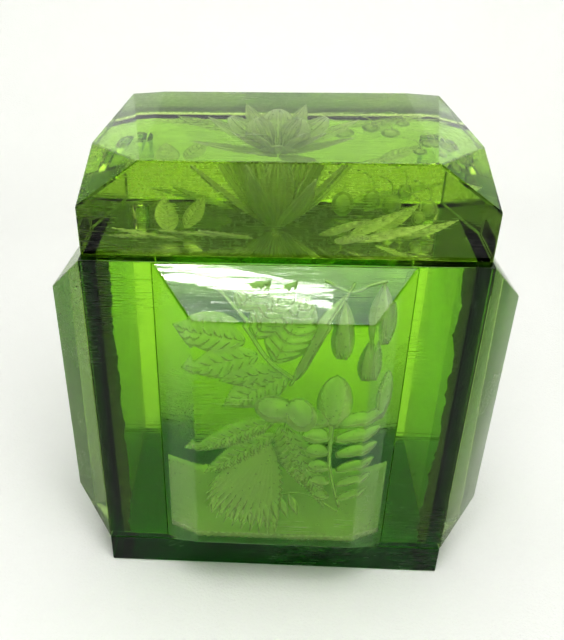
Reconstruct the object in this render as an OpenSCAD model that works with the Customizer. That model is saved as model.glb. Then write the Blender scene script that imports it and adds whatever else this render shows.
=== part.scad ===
// Powder jar of clear green acrylic: a box of cemented sheets with a ridged wing on each front
// corner, a bevelled block on the front and a thick faceted lid on two pegs.
// The front is -Y and the origin is on the table, under the middle of the bounding box.

/* [Jar] */
// Width of the jar's box
jar_w = 103; // [90:0.5:115]
// Depth of the jar's box
jar_d = 58.4; // [57:0.1:80]
// Thickness of the base plate
base_t = 10.2; // [6:0.1:14]
// Height of the four walls above the base plate
wall_h = 99; // [80:0.5:110]
// Thickness of the four walls
wall_t = 4; // [3:0.1:8]
// Reach of the wings from the sides, half of their depth
wing_reach = 10.9; // [6:0.1:12]
// Height of the cut at the upper corner of a wing
wing_top_cut = 14; // [5:0.1:20]
// Height of the cut at the lower corner of a wing
wing_foot_cut = 12.4; // [5:0.1:20]

/* [Front block] */
// Width of the front block where it meets the wall
block_w = 66.5; // [50:0.5:80]
// Thickness of the front block
block_t = 10.7; // [6:0.1:12]
// Width of the bevel around the front block
block_bevel = 10.9; // [6:0.1:14]

/* [Lid] */
// Width of the lid
lid_w = 103; // [100:0.5:110]
// Depth of the lid
lid_d = 57; // [50:0.5:57]
// Distance of the lid's front from the front of the jar
lid_back = 2.8; // [0:0.1:4]
// Height of the lid
lid_h = 25.4; // [22:0.1:28]
// Width of the flat table on top of the lid
table_w = 70; // [60:0.5:80]
// Height of the shoulder where the front corner of the lid is cut away
shoulder_h = 13.2; // [8:0.1:15]
// Drop of the lid's top from the table to its side edge
side_drop = 4.8; // [2:0.1:6]
// Length of the front corner cut along the side of the lid
cut_run = 25.6; // [15:0.1:30]

/* [Pegs] */
// Diameter of the locating pegs
peg_d = 4.76; // [4:0.01:6]
// Gap between a peg and the end wall beside it
peg_gap = 6.2; // [0.2:0.1:10]
// Distance of the pegs from the front of the jar
peg_back = 38.2; // [20:0.1:40]
// Depth of the straight part of each peg's blind bore
bore_depth = 3.8; // [3:0.1:8]
// Length of peg below the lid
peg_reach = 6; // [3:0.5:10]

/* [Hidden] */

front_y = -(jar_d - block_t) / 2;       // face of the front wall
rim_z = base_t + wall_h;                // top of the walls, which the lid rests on
well_d = jar_d - 2 * wall_t;            // clear depth of the well
lid_y = front_y + lid_back;             // front of the lid
peg_x = jar_w / 2 - wall_t - peg_gap - peg_d / 2;
peg_y = front_y + peg_back;
peg_top = 0.3;                          // space left above a peg in its bore
point_h = peg_d / 2 * tan(31);          // height of the drill point, 118 degrees across
back_run = 1;                           // depth of the bevel behind the table
rear_inset = 6.5;                       // cut of the lid's rear corners, across
rear_drop = 1;                          // drop of the lid's top at those corners

jar_green = [0.35, 0.62, 0.12, 0.6];
block_green = [0.45, 0.70, 0.25, 0.6];
wing_green = [0.55, 0.75, 0.40, 0.6];
lid_green = [0.40, 0.66, 0.18, 0.6];

// Solid between an outline seen from above and an outline seen from the front, both from a
// point on the base plate's top at the front wall's face; deep is at least its depth
module two_outlines(from_above, from_front, deep) {
    translate([0, front_y, base_t])
        intersection() {
            linear_extrude(wall_h)
                polygon(from_above);
            translate([0, deep, 0])
                rotate([90, 0, 0])
                    linear_extrude(2 * deep)
                        polygon(from_front);
        }
}

module base_plate() {
    color(jar_green)
        translate([-jar_w / 2, front_y, 0])
            cube([jar_w, jar_d, base_t]);
}

module front_wall() {
    color(jar_green)
        translate([-jar_w / 2, front_y, base_t])
            cube([jar_w, wall_t, wall_h]);
}

// Strip with a 90 degree ridge and cut corners, on the right side unless it is mirrored
module wing() {
    side = jar_w / 2;
    ridge = side + wing_reach;
    color(wing_green)
        two_outlines([[side, 0], [ridge, wing_reach], [side, 2 * wing_reach]],
                     [[side, 0], [ridge, wing_foot_cut], [ridge, wall_h - wing_top_cut],
                      [side, wall_h]],
                     2 * wing_reach);
}

module back_wall() {
    color(jar_green)
        translate([-jar_w / 2, front_y + jar_d - wall_t, base_t])
            cube([jar_w, wall_t, wall_h]);
}

// A wall between the front and back walls, with its lower x face at x
module end_wall(x) {
    color(jar_green)
        translate([x, front_y + wall_t, base_t])
            cube([wall_t, well_d, wall_h]);
}

// Sheet with a wide bevel on all four sides, like a picture frame
module front_block() {
    half = block_w / 2;
    inner = half - block_bevel;
    color(block_green)
        intersection() {
            two_outlines([[-half, 0], [half, 0], [inner, -block_t], [-inner, -block_t]],
                         [[-half, 0], [half, 0], [half, wall_h], [-half, wall_h]],
                         block_t);
            translate([-half, front_y, base_t])
                rotate([90, 0, 90])
                    linear_extrude(block_w)
                        polygon([[0, 0], [0, wall_h], [-block_t, wall_h - block_bevel],
                                 [-block_t, block_bevel]]);
        }
}

// Corners of the right half of the lid, from the middle of its lower front edge
lid_corners = [
    [lid_w / 2, 0, 0],
    [lid_w / 2, 0, shoulder_h],
    [table_w / 2, 0, lid_h],
    [lid_w / 2, cut_run, lid_h - side_drop],
    [table_w / 2, lid_d - back_run, lid_h],
    [lid_w / 2 - rear_inset, lid_d, lid_h - rear_drop],
    [lid_w / 2, cut_run, 0],
    [lid_w / 2 - rear_inset, lid_d, 0]
];

module lid_solid() {
    both = [for (side = [1, -1]) for (p = lid_corners) [side * p.x, p.y, p.z]];
    translate([0, lid_y, rim_z])
        hull()
            polyhedron(points = both, faces = [[for (i = [0:len(both) - 1]) i]]);
}

// Blind bore for a peg, with the cone that the drill leaves
module peg_bore(x) {
    translate([x, peg_y, rim_z - 1])
        cylinder(d = peg_d, h = bore_depth + 1, $fn = 48);
    translate([x, peg_y, rim_z + bore_depth])
        cylinder(d1 = peg_d, d2 = 0, h = point_h, $fn = 48);
}

module lid_block() {
    color(lid_green)
        difference() {
            lid_solid();
            peg_bore(-peg_x);
            peg_bore(peg_x);
        }
}

module peg(x) {
    color(lid_green)
        translate([x, peg_y, rim_z - peg_reach])
            cylinder(d = peg_d, h = peg_reach + bore_depth - peg_top, $fn = 48);
}

base_plate();
front_wall();
back_wall();
end_wall(-jar_w / 2);  // left_wall
end_wall(jar_w / 2 - wall_t);  // right_wall
front_block();
mirror([1, 0, 0]) wing();  // left_wing
wing();  // right_wing
lid_block();
peg(-peg_x);  // left_peg
peg(peg_x);  // right_peg
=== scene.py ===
import math
import random

import bpy
import bmesh
from mathutils import Matrix, Vector


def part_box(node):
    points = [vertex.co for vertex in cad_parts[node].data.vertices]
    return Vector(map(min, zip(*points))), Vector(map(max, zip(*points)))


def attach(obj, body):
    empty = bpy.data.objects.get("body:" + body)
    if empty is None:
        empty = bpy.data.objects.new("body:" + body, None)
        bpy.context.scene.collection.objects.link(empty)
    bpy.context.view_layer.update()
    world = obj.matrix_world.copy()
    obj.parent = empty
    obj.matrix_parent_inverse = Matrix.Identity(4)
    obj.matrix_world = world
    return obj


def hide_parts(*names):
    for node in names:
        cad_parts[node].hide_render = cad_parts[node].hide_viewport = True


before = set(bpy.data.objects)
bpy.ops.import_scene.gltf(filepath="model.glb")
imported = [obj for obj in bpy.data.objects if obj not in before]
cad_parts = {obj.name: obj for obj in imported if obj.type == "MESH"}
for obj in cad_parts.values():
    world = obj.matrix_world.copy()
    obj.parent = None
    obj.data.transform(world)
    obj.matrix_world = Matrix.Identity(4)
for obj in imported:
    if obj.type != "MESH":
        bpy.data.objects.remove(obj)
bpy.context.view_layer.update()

MM = 0.001

# ---------------------------------------------------------------- sizes, all from the frame

BOX = {n: (Vector(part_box(n)[0]), Vector(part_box(n)[1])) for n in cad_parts}
JAR = ["base_plate", "front_wall", "back_wall", "left_wall", "right_wall", "front_block",
       "left_wing", "right_wing"]
HALF = BOX["base_plate"][1].x            # half the width of the jar's box
FRONT = BOX["base_plate"][0].y           # face of the front wall
FLOOR = BOX["base_plate"][1].z           # top of the base plate
RIM = BOX["back_wall"][1].z
LID_LO, LID_HI = BOX["lid_block"]
BLK_LO, BLK_HI = BOX["front_block"]

# absorption per metre in red, green and blue
GREEN = (95.0, 20.0, 360.0)              # front and back walls
DEEP = (105.0, 26.0, 380.0)              # base plate
SIDE_WALL_SHADE = (230.0, 95.0, 600.0)           # side walls: the wall acrylic made denser, painted shade for the near-black look of their edges
CORNER_SHADE = (24000.0, 13000.0, 30000.0)      # dark strips in the front corners, painted shade
PALE = (15.0, 7.0, 48.0)                 # front block, lid, pegs and side strips
INSET = 0.02 * MM                        # gap left between two pieces at a cemented face
EDGE = 0.30 * MM                         # width of the broken edges
UNWETTED = 0.15                          # joint value where the cement hasn't wetted the face
BLOCK_CLEAR = 0.30                       # joint value of the carved faces in the front block
LID_CLEAR = 0.36                         # the same in the lid


# ---------------------------------------------------------------- materials

def nodes_of(name):
    m = bpy.data.materials.new(name)
    m.use_nodes = True
    nt = m.node_tree
    nt.nodes.clear()
    return m, nt


def link(nt, a, b):
    nt.links.new(a, b)


def noise(nt, coord, scale, detail=3.0, rough=0.5):
    n = nt.nodes.new("ShaderNodeTexNoise")
    n.inputs["Scale"].default_value = scale
    n.inputs["Detail"].default_value = detail
    n.inputs["Roughness"].default_value = rough
    link(nt, coord, n.inputs["Vector"])
    return n.outputs["Fac"]


def ramp(nt, fac, stops):
    r = nt.nodes.new("ShaderNodeValToRGB")
    while len(r.color_ramp.elements) < len(stops):
        r.color_ramp.elements.new(0.5)
    for e, (p, v) in zip(r.color_ramp.elements, stops):
        e.position = p
        e.color = (v, v, v, 1)
    link(nt, fac, r.inputs["Fac"])
    return r.outputs["Color"]


def math_node(nt, op, a, b):
    m = nt.nodes.new("ShaderNodeMath")
    m.operation = op
    for i, x in enumerate((a, b)):
        if isinstance(x, (int, float)):
            m.inputs[i].default_value = x
        else:
            link(nt, x, m.inputs[i])
    return m.outputs[0]


def absorb(nt, out, sigma):
    v = nt.nodes.new("ShaderNodeVolumeAbsorption")
    top = max(sigma) * 1.02
    v.inputs["Density"].default_value = top
    v.inputs["Color"].default_value = (1 - sigma[0] / top, 1 - sigma[1] / top, 1 - sigma[2] / top, 1)
    link(nt, v.outputs[0], out.inputs["Volume"])


def acrylic(name, sigma, scratch=0.02, angle=0.5, haze_top=0.02,
            frost=(0.74, 0.98, 0.44), veil=0.42, tool=0.3):
    """Clear green acrylic. A face's joint value makes it a cemented face, which light passes
    straight through, and its carved value makes it a drilled, frosted one. haze_top is the most
    roughness that the polish has, frost and veil are the tint and the share of scattered light
    of carved faces, and tool is the depth of the marks on them."""
    m, nt = nodes_of(name)
    out = nt.nodes.new("ShaderNodeOutputMaterial")
    p = nt.nodes.new("ShaderNodeBsdfPrincipled")
    p.inputs["IOR"].default_value = 1.49
    tint = nt.nodes.new("ShaderNodeMix")
    tint.data_type = "RGBA"
    tint.inputs["A"].default_value = (0.95, 0.99, 0.90, 1)
    tint.inputs["B"].default_value = (*frost, 1)
    link(nt, tint.outputs["Result"], p.inputs["Base Color"])
    tc = nt.nodes.new("ShaderNodeTexCoord")
    carved = nt.nodes.new("ShaderNodeAttribute")
    carved.attribute_name = "carved"
    joint = nt.nodes.new("ShaderNodeAttribute")
    joint.attribute_name = "joint"
    link(nt, carved.outputs["Fac"], tint.inputs["Factor"])
    # polishing haze and fine rubbed lines
    mp = nt.nodes.new("ShaderNodeMapping")
    mp.inputs["Rotation"].default_value = (angle * 0.7, angle, angle * 0.4)
    mp.inputs["Scale"].default_value = (90, 2600, 2600)
    link(nt, tc.outputs["Object"], mp.inputs["Vector"])
    fine = nt.nodes.new("ShaderNodeTexNoise")
    fine.inputs["Scale"].default_value = 1.0
    fine.inputs["Detail"].default_value = 2.0
    link(nt, mp.outputs[0], fine.inputs["Vector"])
    where = ramp(nt, noise(nt, tc.outputs["Object"], 28, 2), [(0.38, 0.0), (0.62, 1.0)])
    lines = math_node(nt, "MULTIPLY", ramp(nt, fine.outputs["Fac"], [(0.53, 0.0), (0.62, 1.0)]), where)
    haze = ramp(nt, noise(nt, tc.outputs["Object"], 60, 4), [(0.3, 0.0), (0.8, haze_top)])
    polish = math_node(nt, "ADD", haze, math_node(nt, "MULTIPLY", lines, 0.30))
    grit = ramp(nt, noise(nt, tc.outputs["Object"], 900, 3), [(0.3, 0.26), (0.7, 0.42)])
    rough = nt.nodes.new("ShaderNodeMix")
    link(nt, carved.outputs["Fac"], rough.inputs["Factor"])
    link(nt, polish, rough.inputs["A"])
    link(nt, grit, rough.inputs["B"])
    link(nt, rough.outputs[0], p.inputs["Roughness"])
    clear = math_node(nt, "SUBTRACT", 1.0, math_node(nt, "MULTIPLY", carved.outputs["Fac"], veil))
    link(nt, clear, p.inputs["Transmission Weight"])
    # shallow unevenness: slow waves of the polish, scratches, and tool marks where it is carved
    slow = math_node(nt, "MULTIPLY", noise(nt, tc.outputs["Object"], 35, 2), 0.25)
    marks = math_node(nt, "MULTIPLY", noise(nt, tc.outputs["Object"], 700, 4), carved.outputs["Fac"])
    height = math_node(nt, "ADD", slow, math_node(nt, "MULTIPLY", lines, -0.06))
    height = math_node(nt, "ADD", height, math_node(nt, "MULTIPLY", marks, tool))
    bump = nt.nodes.new("ShaderNodeBump")
    bump.inputs["Strength"].default_value = 1.0
    bump.inputs["Distance"].default_value = scratch * 0.01
    link(nt, height, bump.inputs["Height"])
    link(nt, bump.outputs[0], p.inputs["Normal"])
    clean = nt.nodes.new("ShaderNodeBsdfTransparent")
    mix = nt.nodes.new("ShaderNodeMixShader")
    link(nt, joint.outputs["Fac"], mix.inputs[0])
    link(nt, p.outputs[0], mix.inputs[1])
    link(nt, clean.outputs[0], mix.inputs[2])
    link(nt, mix.outputs[0], out.inputs["Surface"])
    absorb(nt, out, sigma)
    return m


def cloth():
    m, nt = nodes_of("pale_cloth")
    out = nt.nodes.new("ShaderNodeOutputMaterial")
    p = nt.nodes.new("ShaderNodeBsdfPrincipled")
    p.inputs["Roughness"].default_value = 0.92
    tc = nt.nodes.new("ShaderNodeTexCoord")
    c = nt.nodes.new("ShaderNodeMix")
    c.data_type = "RGBA"
    c.inputs["A"].default_value = (0.86, 0.865, 0.83, 1)
    c.inputs["B"].default_value = (0.80, 0.805, 0.765, 1)
    link(nt, noise(nt, tc.outputs["Object"], 9, 4), c.inputs["Factor"])
    link(nt, c.outputs["Result"], p.inputs["Base Color"])
    bump = nt.nodes.new("ShaderNodeBump")
    bump.inputs["Strength"].default_value = 0.25
    bump.inputs["Distance"].default_value = 0.0008
    link(nt, noise(nt, tc.outputs["Object"], 1300, 2), bump.inputs["Height"])
    link(nt, bump.outputs[0], p.inputs["Normal"])
    link(nt, p.outputs[0], out.inputs["Surface"])
    return m


def bubble():
    """Trapped air: a clear skin that bends light the other way."""
    m, nt = nodes_of("trapped_air")
    out = nt.nodes.new("ShaderNodeOutputMaterial")
    p = nt.nodes.new("ShaderNodeBsdfPrincipled")
    p.inputs["IOR"].default_value = 0.671
    p.inputs["Transmission Weight"].default_value = 1.0
    tc = nt.nodes.new("ShaderNodeTexCoord")
    skin = ramp(nt, noise(nt, tc.outputs["Object"], 1500, 2), [(0.3, 0.02), (0.8, 0.25)])
    link(nt, skin, p.inputs["Roughness"])
    link(nt, p.outputs[0], out.inputs["Surface"])
    return m


ACRYLIC = acrylic("green_acrylic", GREEN)
# side walls: a denser copy of the wall acrylic, painted shade
SHADED_SIDE_ACRYLIC = acrylic("side_green_acrylic_painted_shade", SIDE_WALL_SHADE)
CORNER_SHADE_ACRYLIC = acrylic("painted_corner_shade", CORNER_SHADE, scratch=0.05)
BUBBLE = bubble()
BASE = acrylic("deep_green_acrylic", DEEP, scratch=0.02, angle=0.2)
WING = acrylic("wing_green_acrylic", PALE, scratch=0.02, angle=1.3)
BLOCK = acrylic("carved_green_acrylic", PALE, scratch=0.03, angle=0.35, haze_top=0.06)
LID = acrylic("lid_green_acrylic", PALE, scratch=0.02, angle=0.9, frost=(0.95, 1.0, 0.84),
              veil=0.45, tool=0.05)


# ---------------------------------------------------------------- pieces

def start(node):
    """The CAD node's mesh with its flat faces joined."""
    bm = bmesh.new()
    bm.from_mesh(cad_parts[node].data)
    bmesh.ops.remove_doubles(bm, verts=bm.verts, dist=1e-7)
    bmesh.ops.dissolve_limit(bm, angle_limit=0.02, verts=bm.verts[:], edges=bm.edges[:])
    return bm


def layers(bm):
    return (bm.faces.layers.float.get("joint") or bm.faces.layers.float.new("joint"),
            bm.faces.layers.float.get("carved") or bm.faces.layers.float.new("carved"))


def break_edges(bm, width=EDGE, longest=4 * MM):
    """Rounds the long sharp edges a little."""
    sharp = [e for e in bm.edges if e.is_manifold and e.calc_length() > longest
             and e.calc_face_angle(0) > 0.3]
    bmesh.ops.bevel(bm, geom=sharp, offset=width, segments=2, profile=0.5, affect="EDGES",
                    clamp_overlap=True)


def finish_piece(bm, name, material, slot, body, *nodes):
    layers(bm)
    me = bpy.data.meshes.new(name)
    bm.to_mesh(me)
    bm.free()
    me.materials.append(material)
    ob = bpy.data.objects.new(name, me)
    bpy.context.scene.collection.objects.link(ob)
    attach(ob, body)
    if nodes:
        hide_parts(*nodes)
    return ob


def contacts(node):
    """(axis, side, place, low corner, high corner) of each face on which node is cemented."""
    lo, hi = BOX[node]
    found = []
    for other in JAR:
        if other == node:
            continue
        lo2, hi2 = BOX[other]
        a = Vector([max(lo[k], lo2[k]) for k in range(3)])
        b = Vector([min(hi[k], hi2[k]) for k in range(3)])
        for k in range(3):
            if all(b[j] - a[j] > 1e-4 for j in range(3) if j != k) and abs(b[k] - a[k]) < 1e-5:
                found.append((k, 1 if abs(hi[k] - a[k]) < 1e-5 else -1, a[k], a, b, other))
    return found


def cement(bm, node):
    """Splits and marks the cemented parts of the faces, and draws one side of each joint back."""
    joint, _ = layers(bm)
    for k, side, place, a, b, other in contacts(node):
        def on_plane(f):
            return f.normal[k] * side > 0.999 and abs(f.calc_center_median()[k] - place) < 2e-5 + INSET
        for j in range(3):
            if j == k:
                continue
            for at in (a[j], b[j]):
                faces = [f for f in bm.faces if on_plane(f)]
                geom = list({*faces, *(e for f in faces for e in f.edges),
                             *(v for f in faces for v in f.verts)})
                no = Vector((0, 0, 0))
                no[j] = 1
                co = Vector((0, 0, 0))
                co[j] = at
                bmesh.ops.bisect_plane(bm, geom=geom, dist=1e-6, plane_co=co, plane_no=no)
        for f in bm.faces:
            if not on_plane(f):
                continue
            c = f.calc_center_median()
            if all(a[j] - 1e-6 < c[j] < b[j] + 1e-6 for j in range(3) if j != k):
                f[joint] = UNWETTED if "wing" in node + other else 1.0
    shift = {}
    for f in bm.faces:
        if f[joint] > 0.1:
            for v in f.verts:
                shift.setdefault(v, set()).add(tuple(round(x) for x in f.normal))
    for v, ways in shift.items():
        for w in ways:
            v.co -= Vector(w) * INSET * 0.5


def sheet(node):
    bm = start(node)
    break_edges(bm)
    cement(bm, node)
    return bm


def tube(bm, points, radii, sides, mark):
    """A closed hollow along points in the acrylic."""
    rings = []
    for i, (p, r) in enumerate(zip(points, radii)):
        ahead = points[min(i + 1, len(points) - 1)] - points[max(i - 1, 0)]
        t = ahead.normalized()
        side = t.cross(Vector((0, 0, 1)))
        if side.length < 0.1:
            side = t.cross(Vector((0, 1, 0)))
        side.normalize()
        up = side.cross(t)
        rings.append([bm.verts.new(p + r * (math.cos(2 * math.pi * k / sides) * side
                                            + math.sin(2 * math.pi * k / sides) * up))
                      for k in range(sides)])
    made = []
    for a, b in zip(rings, rings[1:]):
        for k in range(sides):
            made.append(bm.faces.new((a[k], b[k], b[(k + 1) % sides], a[(k + 1) % sides])))
    made.append(bm.faces.new(rings[0]))
    made.append(bm.faces.new(rings[-1][::-1]))
    for f in made:
        f[mark] = 1.0
        f.smooth = True
    return made


def blade(bm, mark, root, along, across, length, width, shape, thick=0.5 * MM, curl=0.0,
          cup=0.0, ribs=0, teeth=0.0, rows=14, cols=8, veins=0):
    """A carved leaf or petal: a thin closed hollow from root along one way and across another.
    shape(t) gives the share of the width at t; curl bends it out of its plane and cup dishes it;
    ribs and veins are the numbers of grooves across and along it, and teeth jag its sides."""
    rows = max(rows, 6 * ribs)
    cols = max(cols, 22 if ribs else 0, 5 * veins)
    along = along.normalized()
    normal = along.cross(across).normalized()
    across = normal.cross(along)
    front, rear = [], []
    for i in range(rows + 1):
        t = i / rows
        w = 0.5 * width * shape(t)
        if teeth and 0.15 < t < 0.97:
            w *= 1 + teeth * (1 if i % 2 else -1)
        mid = root + along * (length * t) + normal * (curl * length * t * t)
        fr, rr = [], []
        for j in range(cols + 1):
            s = 2 * j / cols - 1
            lift = cup * w * s * s
            swell = math.sin(math.pi * min(1, max(0, t * 0.94 + 0.03))) ** 0.5
            body = thick * max(0.06, (1 - s * s)) * max(0.08, swell)
            if ribs:
                vein = math.exp(-(s / 0.10) ** 2)
                rib = 0.5 + 0.5 * math.cos(2 * math.pi * (t * ribs - abs(s) * 1.2))
                body *= 1 - min(0.85, 0.5 * vein + 0.75 * rib * (1 - s * s))
            if veins:
                body *= 0.62 + 0.38 * math.cos(math.pi * s * veins)
            point = mid + across * (w * s) + normal * lift
            fr.append(bm.verts.new(point + normal * body))
            rr.append(bm.verts.new(point - normal * body))
        front.append(fr)
        rear.append(rr)
    made = []
    for i in range(rows):
        for j in range(cols):
            made.append(bm.faces.new((front[i][j], front[i + 1][j], front[i + 1][j + 1], front[i][j + 1])))
            made.append(bm.faces.new((rear[i][j], rear[i][j + 1], rear[i + 1][j + 1], rear[i + 1][j])))
    for i in range(rows):
        made.append(bm.faces.new((front[i][0], rear[i][0], rear[i + 1][0], front[i + 1][0])))
        made.append(bm.faces.new((front[i][cols], front[i + 1][cols], rear[i + 1][cols], rear[i][cols])))
    for j in range(cols):
        made.append(bm.faces.new((front[0][j], front[0][j + 1], rear[0][j + 1], rear[0][j])))
        made.append(bm.faces.new((front[rows][j], rear[rows][j], rear[rows][j + 1], front[rows][j + 1])))
    for f in made:
        f[mark] = 1.0
        f.smooth = True
    return made


def bead(bm, mark, centre, radii, turn=0.0):
    """A round or oval drilled hollow."""
    m = Matrix.Translation(centre) @ Matrix.Rotation(turn, 4, "Y") @ Matrix.Diagonal((*radii, 1))
    got = bmesh.ops.create_uvsphere(bm, u_segments=20, v_segments=12, radius=1.0, matrix=m)
    faces = list({f for v in got["verts"] for f in v.link_faces})
    for f in faces:
        f[mark] = 1.0
        f.smooth = True
    return faces


def hollow(bm, faces, clear):
    """Turns closed surfaces inside out, so that they bound an empty space in the acrylic."""
    joint, _ = layers(bm)
    for f in faces:
        f[joint] = clear
    bmesh.ops.recalc_face_normals(bm, faces=faces)
    bmesh.ops.reverse_faces(bm, faces=faces)


# outlines of leaves and petals: share of the width at share t of the length

def oval(t):
    return max(0.03, math.sin(math.pi * min(1, t ** 0.9 * 0.97 + 0.03)) ** 0.8 * (1 - 0.5 * t ** 7))


def round_leaf(t):
    return max(0.05, math.sin(math.pi * min(1, t * 0.94 + 0.06)) ** 0.55)


def lance(t):
    return max(0.04, math.sin(math.pi * t ** 0.8) ** 0.9)


def spoon(t):
    widest = 0.62
    if t < widest:
        return 0.12 + 0.88 * math.sin(math.pi * 0.5 * min(1, t / widest))
    return max(0.06, math.cos(math.pi * 0.5 * (t - widest) / 0.40) ** 0.6)


# ---------------------------------------------------------------- the jar's sheets

for name in ("base_plate", "front_wall", "back_wall", "left_wall", "right_wall"):
    # the side walls take the denser acrylic, painted shade
    made_of = {"base_plate": BASE, "left_wall": SHADED_SIDE_ACRYLIC, "right_wall": SHADED_SIDE_ACRYLIC}.get(name, ACRYLIC)
    finish_piece(sheet(name), name + "_sheet", made_of, "jar_acrylic", "jar", name)


def cement_marks():
    """Squiggles and bubbles of trapped air in the cement between the base plate and the front."""
    bm = bmesh.new()
    _, mark = layers(bm)
    made = []
    rng = random.Random(5)
    for x0, n in ((-32, 2), (8, 3), (13, 2), (24, 3)):
        for i in range(n):
            x = x0 + 3.2 * i
            pts = []
            for s in range(14):
                t = s / 13
                pts.append(Vector((x * MM + 1.4 * MM * math.cos(5.2 * t + i), FRONT + (0.9 + 0.5 * t) * MM,
                                   FLOOR - (2.6 + 1.2 * math.sin(5.2 * t + i + x0)) * MM)))
            made.extend(tube(bm, pts, [0.16 * MM] * 14, 6, mark))
    for i in range(36):
        c = Vector((rng.uniform(-0.92, 0.92) * HALF, FRONT + rng.uniform(0.8, 3.6) * MM,
                    FLOOR - rng.uniform(0.4, 1.2) * MM))
        r = rng.uniform(0.12, 0.32) * MM
        made.extend(bead(bm, mark, c, (r, r, r)))
    bmesh.ops.recalc_face_normals(bm, faces=made)
    for f in made:
        f[mark] = 0.0
    return bm


def painted_shade_corner_strips():
    """Ragged dark strips inside the two front corners: painted shade."""
    rows = 90
    bm = bmesh.new()
    rng = random.Random(3)
    wall = BOX["front_wall"][1].y
    for side in (-1, 1):
        edge = BOX["right_wall"][0].x * side
        wide = 2.4
        lo, hi = FLOOR + 0.4 * MM, RIM - 0.5 * MM
        rings = []
        for i in range(rows + 1):
            wide = min(3.4, max(1.5, wide + rng.uniform(-0.45, 0.45)))
            z = lo + (hi - lo) * i / rows
            a = edge - side * 0.03 * MM
            b = edge - side * (wide + rng.uniform(-0.15, 0.15)) * MM
            y0, y1 = wall + 0.03 * MM, wall + 0.32 * MM
            rings.append([bm.verts.new((a, y0, z)), bm.verts.new((b, y0, z)),
                          bm.verts.new((b, y1 - 0.15 * MM, z)), bm.verts.new((a, y1, z))])
        for p, q in zip(rings, rings[1:]):
            for k in range(4):
                bm.faces.new((p[k], p[(k + 1) % 4], q[(k + 1) % 4], q[k]))
        bm.faces.new(rings[0])
        bm.faces.new(rings[-1])
    bmesh.ops.recalc_face_normals(bm, faces=bm.faces[:])
    return bm


# dark strips in the two front corners: painted shade
finish_piece(painted_shade_corner_strips(), "corner_painted_shade", CORNER_SHADE_ACRYLIC, "jar_acrylic", "jar")
finish_piece(cement_marks(), "cement_bubbles", BUBBLE, "jar_acrylic", "jar")
for name in ("left_wing", "right_wing"):
    bm = sheet(name)
    _, rubbed = layers(bm)               # the rear facets are satin
    for f in bm.faces:
        if f.normal.y > 0.3:
            f[rubbed] = 1.0
    finish_piece(bm, name + "_strip", WING, "wing_acrylic", "jar", name)


# ---------------------------------------------------------------- carved front block

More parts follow.
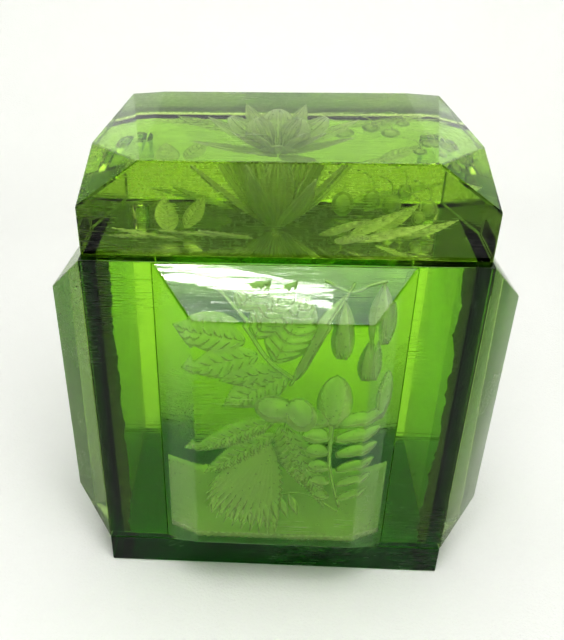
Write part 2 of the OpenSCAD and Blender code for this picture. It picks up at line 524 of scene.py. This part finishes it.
def carve_block(bm):
    _, mark = layers(bm)
    made = []
    w = BLK_HI.x - BLK_LO.x
    h = BLK_HI.z - BLK_LO.z
    back = BLK_HI.y - 0.6 * MM
    front_way = Vector((0, -1, 0))

    def at(u, v, d=2.0):
        """A point at shares u across and v down the block, d mm before its back."""
        return Vector((BLK_LO.x + (u + 0.03) * w, back - d * MM, BLK_HI.z - max(0.025, v - 0.115) * h))

    def leaf(u0, v0, u1, v1, width, shape=oval, **k):
        k["thick"] = 1.7 * k.get("thick", 0.6 * MM)
        k.setdefault("cols", 12)
        a, b = at(u0, v0, k.pop("d0", 2.2)), at(u1, v1, k.pop("d1", 3.4))
        way = b - a
        made.extend(blade(bm, mark, a, way, way.cross(front_way), way.length, 1.25 * width * MM, shape, **k))

    def stem(points, r0=0.7, r1=0.4):
        pts = [at(*p) for p in points]
        fine = []
        for i in range(len(pts) - 1):
            p0, p1 = pts[max(i - 1, 0)], pts[i]
            p2, p3 = pts[i + 1], pts[min(i + 2, len(pts) - 1)]
            for s in range(6):
                t = s / 6
                fine.append(0.5 * ((2 * p1) + (p2 - p0) * t + (2 * p0 - 5 * p1 + 4 * p2 - p3) * t * t
                                   + (3 * p1 - p0 - 3 * p2 + p3) * t ** 3))
        fine.append(pts[-1])
        n = len(fine)
        made.extend(tube(bm, fine, [(r0 + (r1 - r0) * i / (n - 1)) * MM for i in range(n)], 8, mark))

    # rubbed ground behind the lower flowers
    leaf(0.0, 0.885, 0.94, 0.885, 23.0, lambda t: 1.0, thick=0.16 * MM, d0=0.9, d1=0.9, rows=60, teeth=0.02)
    # leafy spray at the upper left, on a curved stem
    stem([(0.22, 0.16, 3.0), (0.33, 0.26, 3.2), (0.42, 0.36, 3.2), (0.52, 0.42, 3.0)], 0.5, 0.8)
    leaf(0.33, 0.31, 0.06, 0.27, 8.0, ribs=7, thick=0.8 * MM)
    leaf(0.38, 0.35, 0.10, 0.40, 8.0, ribs=7, thick=0.8 * MM)
    leaf(0.36, 0.30, 0.52, 0.14, 7.5, lance, ribs=8, thick=0.9 * MM)
    leaf(0.45, 0.37, 0.57, 0.18, 10.5, oval, ribs=7, thick=1.0 * MM, cup=0.12)
    leaf(0.30, 0.24, 0.42, 0.13, 7.0, lance, ribs=6, thick=0.8 * MM)
    leaf(0.50, 0.41, 0.24, 0.52, 8.5, oval, ribs=8, thick=1.0 * MM, curl=0.05)
    leaf(0.48, 0.40, 0.23, 0.43, 6.0, lance, ribs=6, thick=0.8 * MM)
    # grass-like leaves up the middle
    for i in range(7):
        k = i / 6
        leaf(0.52 + 0.01 * i, 0.43 - 0.02 * i, 0.60 + 0.10 * k, 0.31 - 0.14 * k, 2.2, lance, thick=0.45 * MM,
             d0=3.2, d1=4.2)
    stem([(0.51, 0.44, 3.4), (0.58, 0.34, 3.8), (0.66, 0.24, 4.2), (0.73, 0.12, 3.6)], 0.5, 0.35)
    # two round berries
    made.extend(bead(bm, mark, at(0.455, 0.515, 4.6), (5.8 * MM, 3.2 * MM, 4.4 * MM), 0.25))
    made.extend(bead(bm, mark, at(0.555, 0.53, 5.0), (4.4 * MM, 3.2 * MM, 5.8 * MM), -0.3))
    # ribbed leaves below the berries
    for k, (u1, v1) in enumerate([(0.10, 0.68), (0.16, 0.76)]):
        leaf(0.46, 0.56 + 0.05 * k, u1, v1, 6.0, lance, ribs=11, thick=1.1 * MM, teeth=0.12, rows=52)
    leaf(0.50, 0.57, 0.68, 0.88, 6.2, lance, ribs=11, thick=1.1 * MM, teeth=0.14, rows=52)
    leaf(0.48, 0.58, 0.58, 0.80, 6.0, lance, ribs=11, thick=0.9 * MM, teeth=0.14, rows=44)
    # fan-shaped thistle head at the lower left
    base = (0.46, 0.62)
    for i in range(13):
        k = i / 12
        ang = math.radians(196 - 78 * k)
        reach = 0.31 + 0.03 * math.sin(5 * k)
        u1 = base[0] + math.cos(ang) * reach * 0.95 + 0.14 * k
        v1 = base[1] + 0.08 + 0.30 * math.sin(math.radians(22 + 68 * k))
        leaf(base[0] - 0.02, base[1] + 0.02, u1, v1, 4.2, lance, thick=0.7 * MM, teeth=0.18, rows=30,
             d0=2.0, d1=3.0 + 1.4 * math.sin(math.pi * k))
    for i in range(10):
        k = i / 9
        leaf(0.22 + 0.034 * i, 0.83 + 0.04 * math.sin(math.pi * k), 0.19 + 0.042 * i,
             0.91 + 0.045 * math.sin(math.pi * k), 2.0, lance, thick=0.5 * MM, d0=3.6, d1=4.2)
    # fern frond with round leaflets at the right
    stem([(0.68, 0.50, 3.6), (0.685, 0.60, 3.6), (0.69, 0.72, 3.4), (0.745, 0.88, 2.8)], 0.8, 0.45)
    leaf(0.69, 0.58, 0.69, 0.40, 7.6, round_leaf, thick=1.0 * MM, cup=0.2, d0=3.4, d1=4.0)
    leaf(0.86, 0.56, 0.88, 0.40, 5.0, round_leaf, thick=0.9 * MM, cup=0.2, d0=2.8, d1=3.0)
    for i in range(6):
        v = 0.56 + 0.055 * i
        k = 1 - 0.09 * i
        leaf(0.675 + 0.004 * i, v, 0.675 - 0.125 * k + 0.004 * i, v - 0.015, 5.2 * k, round_leaf,
             thick=0.9 * MM, cup=0.25, d0=3.6, d1=4.4)
        leaf(0.70 + 0.006 * i, v + 0.01, 0.70 + 0.19 * k + 0.006 * i, v - 0.03, 4.2 * k, round_leaf,
             thick=0.9 * MM, cup=0.25, d0=3.2, d1=3.6)
    # hanging buds at the upper right
    for (u, v, s) in [(0.70, 0.24, 1.0), (0.84, 0.19, 1.1), (0.80, 0.33, 0.8)]:
        for da in (-0.30, 0.0, 0.30):
            leaf(u, v - 0.04 * s, u + 0.05 * s * math.sin(da), v + 0.11 * s, 3.8 * s, spoon, thick=0.8 * MM,
                 cup=0.3, d0=2.8, d1=3.4 + da)
    stem([(0.62, 0.10, 2.4), (0.72, 0.17, 3.0), (0.79, 0.15, 2.8), (0.85, 0.12, 2.4)], 0.4, 0.4)
    stem([(0.40, 0.86, 2.0), (0.58, 0.83, 2.4), (0.74, 0.90, 2.2)], 0.3, 0.3)
    hollow(bm, made, BLOCK_CLEAR)


bm = start("front_block")
break_edges(bm, 0.45 * MM)
cement(bm, "front_block")
carve_block(bm)
finish_piece(bm, "carved_front_block", BLOCK, "carved_acrylic", "jar", "front_block")


# ---------------------------------------------------------------- lid

def carve_lid(bm):
    _, mark = layers(bm)
    made = []
    base_z = LID_LO.z + 1.3 * MM
    # the rear face is satin
    for f in bm.faces:
        if f.normal.y > 0.9:
            f[mark] = 0.75
    cx = -2 * MM
    cy = LID_LO.y + 27 * MM

    def petal(az, lift, length, width, shape, out=1.2, **k):
        a = math.radians(az)
        e = math.radians(lift)
        flat = Vector((math.sin(a), -math.cos(a), 0))
        way = flat * math.cos(e) + Vector((0, 0, math.sin(e)))
        across = Vector((math.cos(a), math.sin(a), 0))
        root = Vector((cx, cy, base_z)) + flat * out * MM
        k["thick"] = 1.3 * k.get("thick", 0.6 * MM)
        made.extend(blade(bm, mark, root, way, across, length * MM, width * MM, shape, **k))

    # outer petals, long and pointed
    for i in range(8):
        petal(22.5 + 45 * i, 38 + 9 * (i % 2), 28.5, 6.6, lance, out=2.2, thick=0.7 * MM, curl=0.05, cup=-0.2,
              veins=4, teeth=0.04, rows=26)
    # middle petals
    for i in range(6):
        petal(60 * i, 59 + 4 * (i % 2), 26.0, 9.0, spoon, out=2.2, thick=0.8 * MM, curl=0.03, cup=-0.15,
              veins=4, teeth=0.05, rows=30)
    # inner petals with ragged tips
    for i in range(4):
        petal(45 + 90 * i, 74, 23.6, 9.6, spoon, out=2.0, thick=0.8 * MM, curl=0.0, cup=-0.15,
              veins=4, teeth=0.07, rows=30)

    def low(x, y, az, length, width, lift=8, shape=lance, **k):
        """A leaf near the lid's underside, x and y mm from its front's middle."""
        a = math.radians(az)
        e = math.radians(lift)
        way = Vector((math.cos(a) * math.cos(e), math.sin(a) * math.cos(e), math.sin(e)))
        across = Vector((-math.sin(a), math.cos(a), 0.25))
        root = Vector((x * MM, LID_LO.y + y * MM, base_z + 0.6 * MM))
        made.extend(blade(bm, mark, root, way, across, length * MM, width * MM, shape, **k))

    # in front of the flower: x, y, heading, length, width, lift
    for x, y, az, n, wd, lf in [
            (-9, 14, 196, 24, 5.0, 5), (-26, 10, 172, 19, 4.5, 4), (-30, 16, 100, 12, 6.5, 38),
            (-26, 20, 50, 11, 5.5, 42), (-8, 12, 215, 17, 4.5, 14), (-34, 12, 205, 12, 4.0, 6),
            (9, 16, -25, 15, 6.0, 22), (16, 14, 20, 17, 5.0, 20), (18, 10, 12, 20, 4.6, 10),
            (13, 12, -40, 11, 6.0, 12), (24, 20, 30, 14, 5.0, 24), (30, 14, 10, 15, 4.2, 16)]:
        low(x, y, az, n, wd, lf, ribs=7, thick=0.7 * MM, curl=0.04)
    # behind it
    for x, y, az, n, wd, lf in [
            (-14, 40, 150, 20, 8.0, 10), (-20, 46, 185, 18, 6.0, 16), (14, 44, 12, 26, 4.0, 12),
            (20, 46, 2, 24, 3.4, 16), (22, 40, 40, 12, 5.0, 20)]:
        low(x, y, az, n, wd, lf, ribs=7, thick=0.8 * MM, teeth=0.12, rows=20)

    def stem(pts, r=0.28):
        pts = [Vector((x * MM, LID_LO.y + y * MM, base_z + z * MM)) for x, y, z in pts]
        fine = []
        for s in range(13):
            t = s / 12
            fine.append(pts[0] * (1 - t) ** 2 + 2 * pts[1] * t * (1 - t) + pts[2] * t * t)
        made.extend(tube(bm, fine, [r * MM] * len(fine), 8, mark))

    # berries on short curved stems
    for x, y, z, r in [(16, 38, 3.2, 3.0), (24, 42, 3.4, 2.5), (29, 38, 3.0, 2.6), (33, 44, 5.2, 2.0),
                       (38, 30, 4.0, 2.4), (35, 25, 3.0, 1.8)]:
        c = Vector((x * MM, LID_LO.y + y * MM, base_z + z * MM))
        made.extend(bead(bm, mark, c, (r * MM, r * MM, r * 1.15 * MM)))
        stem([(x, y, z + r), (x + 1.5, y + 2, z + r + 4.0), (x - 4, y + 5, z + r + 4.5)])
    # nothing reaches the lid's top or its underside
    for v in {v for f in made for v in f.verts}:
        v.co.z = min(LID_HI.z - 0.5 * MM, max(LID_LO.z + 0.4 * MM, v.co.z))
    hollow(bm, made, LID_CLEAR)


bm = start("lid_block")
break_edges(bm, 0.5 * MM)
carve_lid(bm)
finish_piece(bm, "faceted_lid", LID, "lid_acrylic", "lid", "lid_block")

PEG_FIT = 0.985                          # width of a peg as a share of its width in the frame
for side in ("left", "right"):
    bm = start(side + "_peg")
    for f in bm.faces:
        f.smooth = abs(f.normal.z) < 0.5
    c = 0.5 * (BOX[side + "_peg"][0] + BOX[side + "_peg"][1])
    for v in bm.verts:
        v.co.x = c.x + (v.co.x - c.x) * PEG_FIT
        v.co.y = c.y + (v.co.y - c.y) * PEG_FIT
    ends = [e for e in bm.edges if abs(e.verts[0].co.z - e.verts[1].co.z) < 1e-6
            and e.calc_face_angle(0) > 0.5]
    bmesh.ops.bevel(bm, geom=ends, offset=0.35 * MM, segments=3, profile=0.5, affect="EDGES")
    finish_piece(bm, side + "_locating_peg", LID, "peg_acrylic", "lid", side + "_peg")


# ---------------------------------------------------------------- floor, light and camera

def stage():
    """A pale cloth with a low backdrop, under a sky that is bright only near the horizon."""
    bm = bmesh.new()
    drop = -0.3 * MM
    prof = [(-1.6, drop), (0.24, drop)]
    r = 0.16
    for a in range(1, 13):
        t = a / 12 * math.pi / 2
        prof.append((0.24 + r * math.sin(t), drop + r - r * math.cos(t)))
    prof.append((0.40, 0.20))
    xs = [-1.6, -0.5, 0.5, 1.6]
    vs = [[bm.verts.new((x, y, z)) for (y, z) in prof] for x in xs]
    for a, b in zip(vs, vs[1:]):
        for i in range(len(prof) - 1):
            bm.faces.new((a[i], a[i + 1], b[i + 1], b[i]))
    me = bpy.data.meshes.new("studio_floor")
    bm.to_mesh(me)
    bm.free()
    me.materials.append(cloth())
    for p in me.polygons:
        p.use_smooth = True
    ob = bpy.data.objects.new("studio_floor", me)
    bpy.context.scene.collection.objects.link(ob)
    w = bpy.data.worlds.new("studio")
    bpy.context.scene.world = w
    w.use_nodes = True
    nt = w.node_tree
    bg = nt.nodes["Background"]
    tc = nt.nodes.new("ShaderNodeTexCoord")
    sep = nt.nodes.new("ShaderNodeSeparateXYZ")
    link(nt, tc.outputs["Generated"], sep.inputs[0])
    high = nt.nodes.new("ShaderNodeMapRange")
    high.interpolation_type = "SMOOTHSTEP"
    high.inputs["From Min"].default_value = 0.12
    high.inputs["From Max"].default_value = 0.34
    high.inputs["To Min"].default_value = 0.70
    high.inputs["To Max"].default_value = 0.05
    link(nt, sep.outputs["Z"], high.inputs["Value"])
    link(nt, high.outputs[0], bg.inputs["Strength"])
    bg.inputs[0].default_value = (0.95, 0.98, 1.0, 1)


def area(name, loc, aim, size, energy, colour=(1, 1, 1)):
    lamp = bpy.data.lights.new(name, "AREA")
    lamp.shape = "RECTANGLE"
    lamp.size, lamp.size_y = size
    lamp.energy = energy
    lamp.color = colour
    o = bpy.data.objects.new(name, lamp)
    o.location = loc
    o.rotation_euler = (Vector(aim) - Vector(loc)).to_track_quat("-Z", "Y").to_euler()
    bpy.context.scene.collection.objects.link(o)
    return o


def camera():
    """The camera, in units of a hundredth of the jar's width from the front's top edge."""
    k = 2 * HALF / 100
    focal, cx, cy = 789, 217.6, 320
    x, y, z = -4.8, -167.3, 90.2
    yaw, pitch, roll = -0.0675, 0.5655, -0.0129
    fwd = Vector((math.sin(yaw) * math.cos(pitch), math.cos(yaw) * math.cos(pitch), -math.sin(pitch)))
    right = Vector((math.cos(yaw), -math.sin(yaw), 0))
    up = right.cross(fwd)
    r = math.cos(roll) * right + math.sin(roll) * up
    u = -math.sin(roll) * right + math.cos(roll) * up
    cam = bpy.data.cameras.new("Camera")
    cam.sensor_width = 36
    cam.lens = focal / 640 * 36
    cam.shift_x = (282 - cx) / 640
    cam.shift_y = (cy - 320) / 640
    o = bpy.data.objects.new("Camera", cam)
    bpy.context.scene.collection.objects.link(o)
    o.matrix_world = Matrix(((r.x, u.x, -fwd.x, x * k), (r.y, u.y, -fwd.y, FRONT + y * k),
                             (r.z, u.z, -fwd.z, RIM + z * k), (0, 0, 0, 1)))
    bpy.context.scene.camera = o


stage()
# a narrow lamp that only reflections show: the highlight on the block's top bevel
window = area("window", (-0.08, -0.46, 0.85), (0, 0, 0.10), (0.34, 0.03), 0.75)
window.visible_transmission = False
window.visible_diffuse = False
area("overhead", (0.0, 0.06, 1.05), (0, 0.14, 0.0), (1.0, 0.8), 5.4)
area("front_softbox", (0.05, -0.42, 0.80), (0, 0, 0.08), (0.8, 0.45), 3.9)
# a dim box that only reflections show: the sheen on the lid's top
veil = area("rear_softbox", (0.0, 0.75, 0.55), (0, 0, 0.12), (1.4, 0.6), 1.5)
veil.visible_transmission = False
veil.visible_diffuse = False
veil.visible_camera = False
camera()
# clear acrylic this thick needs many bounces
scene = bpy.context.scene
scene.cycles.max_bounces = 24
scene.cycles.transmission_bounces = 24
scene.cycles.transparent_max_bounces = 40
scene.view_settings.view_transform = "Standard"
scene.view_settings.look = "High Contrast"
